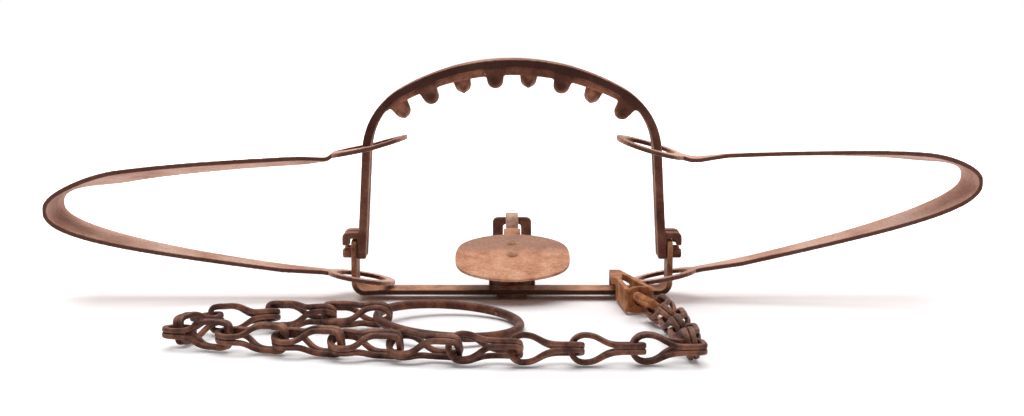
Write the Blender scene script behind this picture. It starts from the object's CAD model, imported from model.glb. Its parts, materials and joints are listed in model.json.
"""A rusty double long-spring leghold trap, sprung, with its chain laid out in front of it."""
import json
import math

import bpy
from mathutils import Matrix, Vector


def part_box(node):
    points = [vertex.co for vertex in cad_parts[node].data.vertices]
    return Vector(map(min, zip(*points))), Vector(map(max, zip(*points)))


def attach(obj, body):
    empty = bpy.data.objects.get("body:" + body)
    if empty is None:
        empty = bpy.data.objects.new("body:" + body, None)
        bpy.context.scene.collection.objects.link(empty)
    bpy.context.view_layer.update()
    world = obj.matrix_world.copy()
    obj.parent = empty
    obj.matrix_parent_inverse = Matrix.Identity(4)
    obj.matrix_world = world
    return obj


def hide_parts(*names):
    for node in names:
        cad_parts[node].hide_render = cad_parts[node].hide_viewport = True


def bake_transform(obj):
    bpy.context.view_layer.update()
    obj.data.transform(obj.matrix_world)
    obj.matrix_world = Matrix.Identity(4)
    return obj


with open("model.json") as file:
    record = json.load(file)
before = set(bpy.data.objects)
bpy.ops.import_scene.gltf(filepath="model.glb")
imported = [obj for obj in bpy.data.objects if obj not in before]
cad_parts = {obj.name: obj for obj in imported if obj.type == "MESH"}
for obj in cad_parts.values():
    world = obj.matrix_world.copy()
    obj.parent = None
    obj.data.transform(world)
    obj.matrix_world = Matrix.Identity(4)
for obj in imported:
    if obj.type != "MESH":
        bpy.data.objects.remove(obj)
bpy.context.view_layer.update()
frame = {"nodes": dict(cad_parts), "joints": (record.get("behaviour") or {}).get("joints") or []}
nodes = frame["nodes"]
bpy.ops.object.select_all(action="DESELECT")


# Base bar. One flat wrought strip with both ends turned up hot into the hinge posts, so its
# edges are soft. Its broad faces carry a warm rust, its narrow sides the dark scale of the forge.
def linear(code):
    """An sRGB hex colour as linear red, green, blue and alpha."""
    parts = [int(code[i:i + 2], 16) / 255 for i in (1, 3, 5)]
    return [p / 12.92 if p <= 0.04045 else ((p + 0.055) / 1.055) ** 2.4 for p in parts] + [1.0]


def add(tree, kind, values=(), links=(), **settings):
    """A node with its settings, its socket values and its links."""
    made = tree.nodes.new(kind)
    for key, value in settings.items():
        setattr(made, key, value)
    for socket, value in values:
        made.inputs[socket].default_value = value
    for socket, source in links:
        tree.links.new(source, made.inputs[socket])
    return made


def stops(ramp, colours):
    """Gives a colour ramp its stops, as pairs of place and hex colour."""
    elements = ramp.color_ramp.elements
    while len(elements) < len(colours):
        elements.new(0.5)
    for element, (place, code) in zip(elements, colours):
        element.position = place
        element.color = linear(code)


# the sockets of a node that mixes two colours: its share, the colour under, the colour over, its result
mix_share, mix_under, mix_over, mix_result = 0, 6, 7, 2
# widths of the rust's patterns in millimetres; finer grit than this does not show at this distance
grit_mm, pit_mm, hammer_mm = 1.4, 2.6, 9
grit_shade, grit_share = "#a89c96", 0.7
dirt, dirt_share = "#2a1813", 0.7
edge_share, stain_share = 0.8, 0.75
# the share of edge wear that the hard scale of the dark sides lets through
scale_wear = 0.2
# how far inside and outside the set back, in metres, the dark sides fade in
fade_inside, fade_outside = 0.0016, 0.0003
roughness_spread = 0.22


def rusted_steel(name, deep, body, warm, rubbed, bloom_mm=16, gloss=0.44, sides="#3f251f", scaled=0.0,
                 set_back_mm=0.0, stain=None, heights=None):
    """Old wrought steel under a tight brown rust: cloudy blooms some millimetres wide, a fine
    grit of rust scale, small pits, dirt in hollows, and edges that handling has rubbed pale.
    Gloss is the least roughness. Sides is the colour of the narrow sides and scaled its share.
    A stain is a colour and the two places on the y axis between which it sets in. Heights are the
    two places on the z axis between which the dark sides set in, and their share before that."""
    material = bpy.data.materials.new(name)
    material.use_nodes = True
    tree = material.node_tree
    tree.nodes.clear()
    spots = add(tree, "ShaderNodeTexCoord")
    at = spots.outputs["Object"]
    bloom = add(tree, "ShaderNodeTexNoise",
                [("Scale", 1000 / bloom_mm), ("Detail", 7), ("Roughness", 0.62)], [("Vector", at)])
    patina = add(tree, "ShaderNodeValToRGB", links=[("Fac", bloom.outputs["Fac"])])
    stops(patina, [(0.34, deep), (0.5, body), (0.68, warm)])
    # the narrow sides, which look forward and back, keep the dark scale of the forge, but not where
    # they lie closer to the middle than the set back
    facing = add(tree, "ShaderNodeSeparateXYZ", links=[("Vector", spots.outputs["Normal"])])
    turned = add(tree, "ShaderNodeMath", operation="ABSOLUTE", links=[(0, facing.outputs["Y"])])
    side = add(tree, "ShaderNodeMapRange", [("From Min", 0.35), ("From Max", 0.8), ("To Max", scaled)],
               [("Value", turned.outputs["Value"])])
    place = add(tree, "ShaderNodeSeparateXYZ", links=[("Vector", at)])
    depth = add(tree, "ShaderNodeMath", operation="ABSOLUTE", links=[(0, place.outputs["Y"])])
    set_back = set_back_mm / 1000
    outer = add(tree, "ShaderNodeMapRange",
                [("From Min", set_back - fade_inside), ("From Max", set_back + fade_outside)],
                [("Value", depth.outputs["Value"])])
    dark = add(tree, "ShaderNodeMath", operation="MULTIPLY",
               links=[(0, side.outputs["Result"]), (1, outer.outputs["Result"])])
    if heights:
        start, full, least = heights
        risen = add(tree, "ShaderNodeMapRange",
                    [("From Min", start), ("From Max", full), ("To Min", least)],
                    [("Value", place.outputs["Z"])])
        dark = add(tree, "ShaderNodeMath", operation="MULTIPLY",
                   links=[(0, dark.outputs["Value"]), (1, risen.outputs["Result"])])
    sided = add(tree, "ShaderNodeMix", [(mix_over, linear(sides))],
                [(mix_share, dark.outputs["Value"]), (mix_under, patina.outputs["Color"])],
                data_type="RGBA")
    if stain:
        tint, start, full = stain
        soaked = add(tree, "ShaderNodeMapRange",
                     [("From Min", start), ("From Max", full), ("To Max", stain_share)],
                     [("Value", place.outputs["Y"])])
        sided = add(tree, "ShaderNodeMix", [(mix_over, linear(tint))],
                    [(mix_share, soaked.outputs["Result"]), (mix_under, sided.outputs[mix_result])],
                    data_type="RGBA")
    # the grit of the rust scale, which also roughens the skin
    scale = add(tree, "ShaderNodeTexNoise",
                [("Scale", 1000 / grit_mm), ("Detail", 5), ("Roughness", 0.7)], [("Vector", at)])
    grain = add(tree, "ShaderNodeValToRGB", links=[("Fac", scale.outputs["Fac"])])
    stops(grain, [(0.3, grit_shade), (0.6, "#ffffff")])
    grained = add(tree, "ShaderNodeMix", [(mix_share, grit_share)],
                  [(mix_under, sided.outputs[mix_result]), (mix_over, grain.outputs["Color"])],
                  data_type="RGBA", blend_type="MULTIPLY")
    rough = add(tree, "ShaderNodeMapRange",
                [("From Min", 0.3), ("From Max", 0.7),
                 ("To Min", gloss), ("To Max", gloss + roughness_spread)],
                [("Value", scale.outputs["Fac"])])
    # edges rubbed pale in patches, less so where hard scale lies
    bend = add(tree, "ShaderNodeNewGeometry").outputs["Pointiness"]
    edge = add(tree, "ShaderNodeMapRange", [("From Min", 0.51), ("From Max", 0.58), ("To Max", edge_share)],
               [("Value", bend)])
    patchy = add(tree, "ShaderNodeMapRange", [("From Min", 0.36), ("From Max", 0.6)],
                 [("Value", bloom.outputs["Fac"])])
    rubbing = add(tree, "ShaderNodeMath", operation="MULTIPLY",
                  links=[(0, edge.outputs["Result"]), (1, patchy.outputs["Result"])])
    kept = add(tree, "ShaderNodeMapRange", [("To Min", 1.0), ("To Max", scale_wear)],
               [("Value", dark.outputs["Value"])])
    worn = add(tree, "ShaderNodeMath", operation="MULTIPLY",
               links=[(0, rubbing.outputs["Value"]), (1, kept.outputs["Result"])])
    edged = add(tree, "ShaderNodeMix", [(mix_over, linear(rubbed))],
                [(mix_share, worn.outputs["Value"]), (mix_under, grained.outputs[mix_result])],
                data_type="RGBA")
    # dirt that stays in hollows and joints
    hollow = add(tree, "ShaderNodeMapRange", [("From Min", 0.49), ("From Max", 0.42), ("To Max", dirt_share)],
                 [("Value", bend)])
    dirty = add(tree, "ShaderNodeMix", [(mix_over, linear(dirt))],
                [(mix_share, hollow.outputs["Result"]), (mix_under, edged.outputs[mix_result])],
                data_type="RGBA")
    # the slow waves of the hammer, the pits and the grit, each raised on the one before
    hammer = add(tree, "ShaderNodeTexNoise", [("Scale", 1000 / hammer_mm), ("Detail", 2)], [("Vector", at)])
    pits = add(tree, "ShaderNodeTexVoronoi", [("Scale", 1000 / pit_mm), ("Randomness", 1.0)],
               [("Vector", at)], feature="SMOOTH_F1")
    waved = add(tree, "ShaderNodeBump", [("Strength", 0.3), ("Distance", 0.0012)],
                [("Height", hammer.outputs["Fac"])])
    pitted = add(tree, "ShaderNodeBump", [("Strength", 0.2), ("Distance", 0.0005)],
                 [("Height", pits.outputs["Distance"]), ("Normal", waved.outputs["Normal"])])
    gritty = add(tree, "ShaderNodeBump", [("Strength", 0.35), ("Distance", 0.0003)],
                 [("Height", scale.outputs["Fac"]), ("Normal", pitted.outputs["Normal"])])
    skin = add(tree, "ShaderNodeBsdfPrincipled", [("Metallic", 0.1), ("Specular IOR Level", 0.15)],
               [("Base Color", dirty.outputs[mix_result]), ("Roughness", rough.outputs["Result"]),
                ("Normal", gritty.outputs["Normal"])])
    add(tree, "ShaderNodeOutputMaterial", links=[("Surface", skin.outputs["BSDF"])])
    return material


weld_gap = 0.00001


def worn_piece(name, sources, material, cell_mm, passes):
    """A hand-worn copy of one or more CAD nodes, as one closed skin of small cells whose edges
    are rounded by a number of smoothing passes."""
    copies = []
    for source in sources:
        copy = bpy.data.objects.new(name, nodes[source].data.copy())
        bpy.context.scene.collection.objects.link(copy)
        copies.append(copy)
    bpy.ops.object.select_all(action="DESELECT")
    for copy in copies:
        copy.select_set(True)
    bpy.context.view_layer.objects.active = copies[0]
    if len(copies) > 1:
        bpy.ops.object.join()
    piece = bpy.context.view_layer.objects.active
    weld = piece.modifiers.new("weld", "WELD")
    weld.merge_threshold = weld_gap
    skin = piece.modifiers.new("skin", "REMESH")
    skin.mode = "VOXEL"
    skin.voxel_size = cell_mm / 1000
    rounding = piece.modifiers.new("rounding", "SMOOTH")
    rounding.factor = 0.5
    rounding.iterations = passes
    for modifier in [m.name for m in piece.modifiers]:
        bpy.ops.object.modifier_apply(modifier=modifier)
    bpy.ops.object.shade_smooth()
    piece.data.materials.clear()
    piece.data.materials.append(material)
    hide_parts(*sources)
    return piece


# wrought iron on damp ground: a matt, warm brown, nearly black on its narrow sides low down
warm_rust = rusted_steel("warm_rusted_steel", "#6b4029", "#b57a57", "#cd9874", "#c2936f", bloom_mm=12,
                         sides="#28130c", scaled=0.95, heights=(0.011, 0.006, 0.12))
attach(worn_piece("bar", ["base_bar"], warm_rust, cell_mm=0.5, passes=4), "base")

# Cross arm and dog. The forged strip under the bar carries the windowed post at the back, and the
# dog is a thinner strip of steel, rolled round the post's top bar and thrown back.

# wrought iron that no hand rubs: a dull dark brown in wide blooms
dark_rust = rusted_steel("dark_rusted_steel", "#4a2a20", "#7c4c39", "#a8745a", "#c8a390", scaled=0.3)
# strip steel that each setting rubs: a pale pinkish brown in small blooms, with a little more gloss
dog_steel = rusted_steel("rubbed_dog_steel", "#a3755f", "#c69a86", "#dab7a6", "#e6d0c4",
                         bloom_mm=6, gloss=0.38)
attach(worn_piece("arm", ["cross_arm"], dark_rust, cell_mm=0.5, passes=5), "base")
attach(worn_piece("dog_strip", ["dog"], dog_steel, cell_mm=0.35, passes=4), "dog")

# Pan with its bracket, shank, pin and rivets. The pan is sheet steel, rubbed brighter and more
# orange than the rest, and spread a little by blows. It is riveted to a forged shank, which turns
# on a pin between the ears of a bent bracket.

# the pan's length, width and radii in millimetres, as in its solid
pan_long, pan_wide = 57.0, 58.5
pan_edge_r, pan_corner_r = 39.5, 32.2
pan_droop = math.radians(14.5)
# how much wider than its solid the pan is, and the place on the x axis that stays where it was
pan_swell, pan_still_x = 1.05, -0.006
# within the core, in millimetres, nothing moves; outside it the pull grows with a power of the reach
pan_core, pull_power, corner_power = 10, 6, 12
least_share = 0.01
low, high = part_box("pan")
pan_middle = (low + high) / 2
# rolled sheet under an even orange rust, stained a darker brown at the back, where damp stays
stain_start, stain_full = pan_middle.y + 0.002, pan_middle.y + 0.012
pan_rust = rusted_steel("orange_rusted_sheet", "#b07657", "#ce9270", "#dba787", "#e6c3a8", bloom_mm=10,
                        stain=("#97705f", stain_start, stain_full))


def round_corners(plate):
    """Rounds the four soft corners of the pan, which its straight sides and curved ends leave, and
    spreads it a little to both sides, as blows have."""
    up = Vector((0, math.cos(pan_droop), math.sin(pan_droop)))
    shift = pan_edge_r - pan_long / 2
    for vertex in plate.data.vertices:
        spot = vertex.co - pan_middle
        across, along = Vector((spot.x, 0, 0)), spot.dot(up) * up
        reach = 1000 * (across + along).length
        if reach > pan_core:
            sideways, drop = 1000 * across.length / reach, shift * 1000 * along.length / reach
            limits = [pan_wide / 2 / max(sideways, least_share), pan_corner_r,
                      math.sqrt(drop ** 2 + pan_edge_r ** 2 - shift ** 2) - drop]
            soft = sum(limit ** -corner_power for limit in limits) ** (-1 / corner_power)
            pull = (soft / min(limits) - 1) * min(1, reach / min(limits)) ** pull_power
            vertex.co += pull * (across + along)
        vertex.co.x = pan_still_x + pan_swell * (vertex.co.x - pan_still_x)


plate = worn_piece("pan_plate", ["pan"], pan_rust, cell_mm=0.4, passes=4)
round_corners(plate)
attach(plate, "pan")
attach(worn_piece("shank", ["pan_shank"], warm_rust, cell_mm=0.35, passes=3), "pan")
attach(worn_piece("saddle", ["pan_bracket"], dark_rust, cell_mm=0.35, passes=3), "base")

edge_break = 0.00015
sharp_angle = math.radians(32)


def small_steel(piece, material):
    """Puts a finish on a small CAD piece and breaks its sharp edges."""
    piece.data.materials.clear()
    piece.data.materials.append(material)
    weld = piece.modifiers.new("weld", "WELD")
    weld.merge_threshold = weld_gap
    bevel = piece.modifiers.new("edges", "BEVEL")
    bevel.width = edge_break
    bevel.segments = 2
    bevel.limit_method = "ANGLE"
    bevel.angle_limit = sharp_angle


# peened heads, closed by the hammer: a mid brown in very small blooms, a little glossier
rivet_rust = rusted_steel("rivet_rust", "#7a4e38", "#a06c50", "#bf8c6c", "#d9b496", bloom_mm=5, gloss=0.36)
for small in ("pan_rivets", "base_rivets", "pan_pin"):
    small_steel(nodes[small], rivet_rust)

# Jaws. Two equal arched bars of forged steel with a set-back flange and blunt teeth, on pins that
# turn in the posts. Their outer sides are the darkest of the trap.

# forged steel: brown legs and flange, and a nearly black scale on the outer sides, thickest at the crown
jaw_rust = rusted_steel("dark_jaw_rust", "#63392b", "#915a45", "#bd846a", "#c8a08c", sides="#30140f",
                        scaled=0.9, set_back_mm=7.6, heights=(0.07, 0.105, 0.6))
for side in ("front", "rear"):
    jaw = side + "_jaw"
    arch = worn_piece(side + "_toothed_arch", [jaw], jaw_rust, cell_mm=0.5, passes=6)
    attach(arch, jaw)

# Springs. Each is one strip of spring steel bent double, wide at the bow and narrow at the necks,
# so each becomes one unbroken piece that bends at its bow when it is pressed. Its eyes hang loose
# on post and jaws, and use has rolled its upper arm.

# tempered strip: a pale, even rust in wide blooms on the broad faces, and dark narrow sides
spring_rust = rusted_steel("rubbed_spring_steel", "#b17c64", "#d6a690", "#e6bfad", "#c39a86", bloom_mm=24,
                           sides="#573229", scaled=0.95)
# half the height, in metres, over which a bow bends
# pairs of the distance from the bow in millimetres and the roll in degrees
arm_turns = {
    "left": [(4, 0), (55, 16), (110, 18), (150, 18), (176, 0)],
    "right": [(4, 0), (40, 10), (110, 7), (140, 6), (162, 0)],
}
upper_eye_x, lower_eye_x = 0.0712, 0.0785
# how far round an eye its hole is drawn out, and over what width that fades
eye_reach, eye_fade = 0.025, 0.0115
# where the neck behind an eye begins to follow the eye, and the length over which it comes to do so
neck_start, neck_run = 0.04, 0.02
loose_eyes = {
    "left": [
        dict(upper=True, eye_x=-upper_eye_x, stretch=0.0074, lift=0.0, roll=2.4),
        dict(upper=False, eye_x=-lower_eye_x, stretch=0.0, lift=0.001, roll=5.0),
    ],
    "right": [
        dict(upper=True, eye_x=upper_eye_x, stretch=0.0, lift=-0.0017, roll=-2.0),
        dict(upper=False, eye_x=lower_eye_x, stretch=0.0, lift=0.001, roll=5.0),
    ],
}


def twist_arm(strip, bow_x, split, turns):
    """Rolls the upper arm of a spring about its own length, front edge up, as use has left it."""
    for vertex in strip.data.vertices:
        if vertex.co.z > split:
            run = 1000 * (abs(vertex.co.x - bow_x) + vertex.co.z - split)
            for (near, first), (end, last) in zip(turns, turns[1:]):
                if near <= run < end:
                    share = (run - near) / (end - near)
                    share = share * share * (3 - 2 * share)
                    roll = math.radians(first + share * (last - first))
                    vertex.co.z -= vertex.co.y * math.tan(roll)
                    break


def set_eye(strip, split, upper, eye_x, stretch, lift, roll):
    """Sets an upper or lower eye as use has left it: its hole drawn out towards the bow, the eye
    raised, and rolled with its front edge up. The roll is in degrees, the rest in metres."""
    toward = math.copysign(1, eye_x)
    slope = math.tan(math.radians(roll))
    for vertex in strip.data.vertices:
        if (vertex.co.z > split) == upper:
            ahead = toward * (vertex.co.x - eye_x)
            away = math.hypot(ahead, vertex.co.y)
            if 0 < ahead and away < eye_reach:
                fade = min(1, (eye_reach - away) / eye_fade)
                vertex.co.x += toward * stretch * fade * ahead / away
            if ahead < neck_start:
                follow = min(1, (neck_start - ahead) / neck_run)
                vertex.co.z += follow * (lift - vertex.co.y * slope)


for side in ("left", "right"):
    arms = [side + "_spring_lower", side + "_spring_upper"]
    lower_box, upper_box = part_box(arms[0]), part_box(arms[1])
    bow_x = lower_box[0].x if side == "left" else lower_box[1].x
    split = (lower_box[1].z + upper_box[0].z) / 2
    strip = worn_piece(side + "_spring_strip", arms, spring_rust, cell_mm=0.5, passes=2)
    twist_arm(strip, bow_x, split, arm_turns[side])
    for loose in loose_eyes[side]:
        set_eye(strip, split, **loose)
    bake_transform(strip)

# Clevis and swivel. A bent iron strap hooked over the bar with a plate in front, and a headed rod
# through the plate with a round eye, both worn bright brown by the chain.

# soft iron that the chain keeps worn: an orange brown in small blooms
clevis_rust = rusted_steel("orange_clevis_rust", "#7a4529", "#b57247", "#d29768", "#e0b48e", bloom_mm=9)
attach(worn_piece("clevis_strap", ["clevis"], clevis_rust, cell_mm=0.4, passes=7), "clevis")
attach(worn_piece("swivel_rod", ["swivel"], clevis_rust, cell_mm=0.3, passes=4), "swivel")

# Chain. Each link is a closed strand of squarish iron stock with soft corners, bent double, so its
# two ends are eyes side by side and the next link's fold hangs in both.

# soft iron in a deep brown, with small rubbed lights on its bends
chain_rust = rusted_steel("chain_rust", "#341a14", "#573127", "#965a3f", "#ae8573", bloom_mm=9, gloss=0.4)
# a quarter of the strand's middle line, from the middle of the fold along one arm to the tip of an
# eye, in millimetres along, across and up
quarter = [
    (-4.8, 0.0, 1.3), (-4.75, 2.6, 1.3), (-4.1, 4.8, 1.3), (-2.2, 5.6, 1.3), (2.0, 5.6, 1.3),
    (6.0, 5.5, 1.4), (9.0, 4.7, 1.9), (11.6, 3.2, 2.9), (14.0, 1.9, 4.2), (16.4, 1.4, 5.3),
    (19.0, 1.3, 5.85), (21.6, 1.3, 5.8), (24.2, 1.3, 4.7), (25.9, 1.3, 2.6), (26.5, 1.3, 0.0),
]
# half the stock's thickness in millimetres, and how much longer than a circle's its handles are
stock_half, squareness = 1.22, 1.6
curve_steps = 4
# from a link's pivot to the middle of its eyes, and from there to the next pivot, in millimetres
eye_along, eye_rim = 20.65, 5.85
# each link's heading on the ground and its roll about its own length, in degrees
headings = [-78, -86, -88, 185, 182, 179, 174, 168, 171, 165, 168, 163, 70, 18, 6, 0]
rolls = [46, 29, 12, 2, 10, 20, 34, 50, 64, 76, 86, 95, 83, 70, 52, 34]
# past this roll a link's eyes lie flat enough for the next link to lead off to the side
flat_roll = 45


def stock_section():
    """The section of the link's stock: a square with well rounded corners, as a flat closed curve."""
    bpy.ops.curve.primitive_bezier_circle_add(radius=stock_half / 1000)
    outline = bpy.context.object
    outline.data.resolution_u = curve_steps
    for point in outline.data.splines[0].bezier_points:
        point.handle_left_type = "FREE"
        point.handle_right_type = "FREE"
        point.handle_left = point.co.lerp(point.handle_left, squareness)
        point.handle_right = point.co.lerp(point.handle_right, squareness)
    return outline


def bent_strand(name, section, place):
    """One link as a strand along its closed middle line, put in its place as a mesh."""
    half = quarter + [(x, y, -z) for x, y, z in quarter[-2::-1]]
    loop = half + [(x, -y, z) for x, y, z in half[-2:0:-1]]
    line = bpy.data.curves.new(name, "CURVE")
    line.dimensions = "3D"
    line.bevel_mode = "OBJECT"
    line.bevel_object = section
    line.resolution_u = curve_steps
    spline = line.splines.new("BEZIER")
    spline.bezier_points.add(len(loop) - 1)
    for point, spot in zip(spline.bezier_points, loop):
        point.co = Vector(spot) / 1000
        point.handle_left_type = "AUTO"
        point.handle_right_type = "AUTO"
    spline.use_cyclic_u = True
    strand = bpy.data.objects.new(name, line)
    bpy.context.scene.collection.objects.link(strand)
    bpy.ops.object.select_all(action="DESELECT")
    strand.select_set(True)
    bpy.context.view_layer.objects.active = strand
    bpy.ops.object.convert(target="MESH")
    link = bpy.context.view_layer.objects.active
    link.data.transform(place)
    bpy.ops.object.shade_smooth()
    link.data.materials.append(chain_rust)
    return link


section = stock_section()
pivot = next(Vector(j["pos_m"]) for j in frame["joints"] if j["child"] == "link_01")
for i, (heading, roll) in enumerate(zip(headings, rolls)):
    name = f"link_{i + 1:02d}"
    turn = Matrix.Rotation(math.radians(heading), 4, "Z")
    place = Matrix.Translation(pivot) @ turn @ Matrix.Rotation(math.radians(roll), 4, "X")
    link = bent_strand("chain_" + name, section, place)
    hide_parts(name)
    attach(link, name)
    if i + 1 < len(headings):
        leading = headings[i + 1] if roll > flat_roll else heading
        eyes = pivot + turn @ Vector((eye_along / 1000, 0, 0))
        pivot = eyes + Matrix.Rotation(math.radians(leading), 4, "Z") @ Vector((eye_rim / 1000, 0, 0))
bpy.data.objects.remove(section)

# End ring. A round iron rod bent into a ring and welded shut round the last link's eyes. It lies
# on the ground, where a stake goes through it.

# rolled rod in a deep brown, its round handled smooth, so a little glossier
ring_rust = rusted_steel("ring_rust", "#3a1c13", "#5e3325", "#85543e", "#bd9682", bloom_mm=10, gloss=0.36)
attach(worn_piece("stake_ring", ["ring"], ring_rust, cell_mm=0.35, passes=3), "ring")


# Studio. A white floor under one large soft light from above, a weak fill from the front, and
# the camera a little above the trap, square on to it.
def seen_rays(tree):
    """One for the rays that show the background: straight to the camera, or by metal or glass."""
    ray = add(tree, "ShaderNodeLightPath")
    plain = add(tree, "ShaderNodeMath", operation="MAXIMUM",
                links=[(0, ray.outputs["Is Camera Ray"]), (1, ray.outputs["Is Glossy Ray"])])
    seen = add(tree, "ShaderNodeMath", operation="MAXIMUM",
               links=[(0, plain.outputs["Value"]), (1, ray.outputs["Is Transmission Ray"])])
    return seen.outputs["Value"]


# matt white paper: it keeps the trap's shadow near the middle and glows to pure white further out
floor_size, floor_drop = 4.0, 0.0004
glow_start, glow_full = 0.1, 0.5
bpy.ops.mesh.primitive_plane_add(size=floor_size, location=(0, 0, -floor_drop))
floor = bpy.context.object
floor.name = "floor"
paper = bpy.data.materials.new("white_paper")
paper.use_nodes = True
tree = paper.node_tree
tree.nodes.clear()
matt = add(tree, "ShaderNodeBsdfDiffuse", [("Color", linear("#fbf9fa"))])
spots = add(tree, "ShaderNodeTexCoord")
away = add(tree, "ShaderNodeVectorMath", operation="LENGTH", links=[(0, spots.outputs["Object"])])
far = add(tree, "ShaderNodeMapRange", [("From Min", glow_start), ("From Max", glow_full)],
          [("Value", away.outputs["Value"])])
glow = add(tree, "ShaderNodeMath", operation="MULTIPLY",
           links=[(0, far.outputs["Result"]), (1, seen_rays(tree))])
light = add(tree, "ShaderNodeEmission", [("Color", linear("#ffffff"))], [("Strength", glow.outputs["Value"])])
both = add(tree, "ShaderNodeAddShader", links=[(0, matt.outputs["BSDF"]), (1, light.outputs["Emission"])])
add(tree, "ShaderNodeOutputMaterial", links=[("Surface", both.outputs["Shader"])])
floor.data.materials.append(paper)

# the white surround, which lights the trap at a lower level than it shows
sky_light, sky_shown = 0.21, 1.0
world = bpy.data.worlds.new("studio")
bpy.context.scene.world = world
world.use_nodes = True
tree = world.node_tree
tree.nodes.clear()
level = add(tree, "ShaderNodeMapRange", [("To Min", sky_light), ("To Max", sky_shown)],
            [("Value", seen_rays(tree))])
sky = add(tree, "ShaderNodeBackground", [("Color", linear("#ffffff"))],
          [("Strength", level.outputs["Result"])])
add(tree, "ShaderNodeOutputWorld", links=[("Surface", sky.outputs["Background"])])


def soft_light(name, watts, size, place, target):
    """A square area lamp at a place, turned to a target."""
    lamp = bpy.data.lights.new(name, "AREA")
    lamp.energy = watts
    lamp.size = size
    holder = bpy.data.objects.new(name, lamp)
    bpy.context.scene.collection.objects.link(holder)
    holder.location = place
    aim = Vector(target) - Vector(place)
    holder.rotation_euler = aim.to_track_quat("-Z", "Y").to_euler()


soft_light("overhead", watts=23.3, size=1.6, place=(0, 0.18, 1.2), target=(0, 0, 0))
soft_light("front_fill", watts=0.6, size=1.0, place=(-0.4, -1.4, 0.9), target=(0, 0, 0.05))

camera_place = (0, -0.787, 0.168)
camera_dip = 8.725
camera = bpy.data.cameras.new("camera")
camera.sensor_width = 36.0
camera.lens = 54.07
viewer = bpy.data.objects.new("camera", camera)
bpy.context.scene.collection.objects.link(viewer)
viewer.location = camera_place
viewer.rotation_euler = (math.radians(90 - camera_dip), 0, 0)
bpy.context.scene.camera = viewer
bpy.context.scene.view_settings.view_transform = "Standard"
